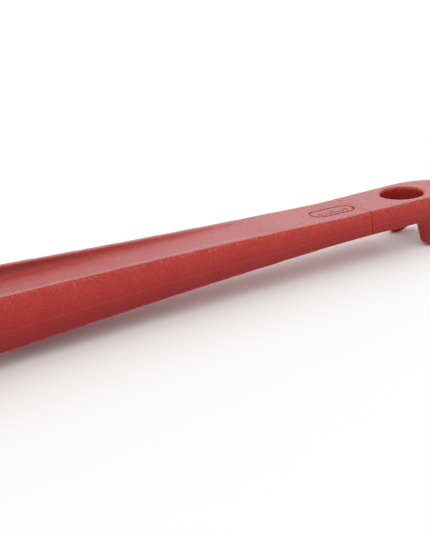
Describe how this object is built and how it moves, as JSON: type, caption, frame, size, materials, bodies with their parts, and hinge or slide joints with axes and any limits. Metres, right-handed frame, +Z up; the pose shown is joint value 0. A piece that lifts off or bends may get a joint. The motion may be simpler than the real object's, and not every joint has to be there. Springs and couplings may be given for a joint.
{
  "type": "pipe wrench",
  "caption": "Heavy straight pipe wrench: cast I-beam handle with hang hole, toothed heel jaw, and a hook jaw moved by a knurled nut in a pivoting housing.",
  "frame": {"origin": "under the middle of the wrench, on the surface it lies on", "axes": "+X along the handle towards the hanging eye, +Y across towards the wrench's back, +Z up out of its side"},
  "size_m": [0.4796, 0.0794, 0.039],
  "materials": {
    "red_coat": "satin red powder coat over a grainy casting",
    "jaw_steel": "dark hardened forging, worn bright on the teeth",
    "nut_steel": "zinc plated and knurled",
    "spring_steel": "oiled spring steel",
    "pin_steel": "ground steel"
  },
  "bodies": {
    "handle": {"handle": "red_coat", "end_eye": "red_coat", "eye_pin_front": "pin_steel", "eye_pin_back": "pin_steel", "heel_jaw": "jaw_steel", "heel_jaw_pin": "pin_steel", "coil_spring": "spring_steel"},
    "housing": {"housing": "red_coat", "housing_pin": "pin_steel", "housing_pin_clip": "spring_steel", "flat_spring": "spring_steel", "flat_spring_rivet_lower": "pin_steel", "flat_spring_rivet_upper": "pin_steel"},
    "hook_jaw": {"hook_jaw": "jaw_steel"},
    "adjusting_nut": {"adjusting_nut": "nut_steel"}
  },
  "joints": [
    {"name": "housing_rock", "type": "hinge", "parent": "handle", "child": "housing", "pos_m": [-0.09974, -0.02125, 0.0195], "axis": [0, 0, -1], "range_deg": [0, 4], "stiffness_Nm_per_rad": 20, "springref_deg": -1.15, "deforming": ["coil_spring"]},
    {"name": "nut_spin", "type": "hinge", "parent": "housing", "child": "adjusting_nut", "pos_m": [-0.12874, 0.01275, 0.0195], "axis": [1, 0, 0], "range_deg": [-1590, 2280]},
    {"name": "hook_jaw_slide", "type": "slide", "parent": "housing", "child": "hook_jaw", "axis": [-1, 0, 0], "range_m": [-0.0264, 0.0379]}
  ],
  "couplings": [
    {"joint": "nut_spin", "follows": "hook_jaw_slide", "rad_per_m": 1047.2}
  ]
}
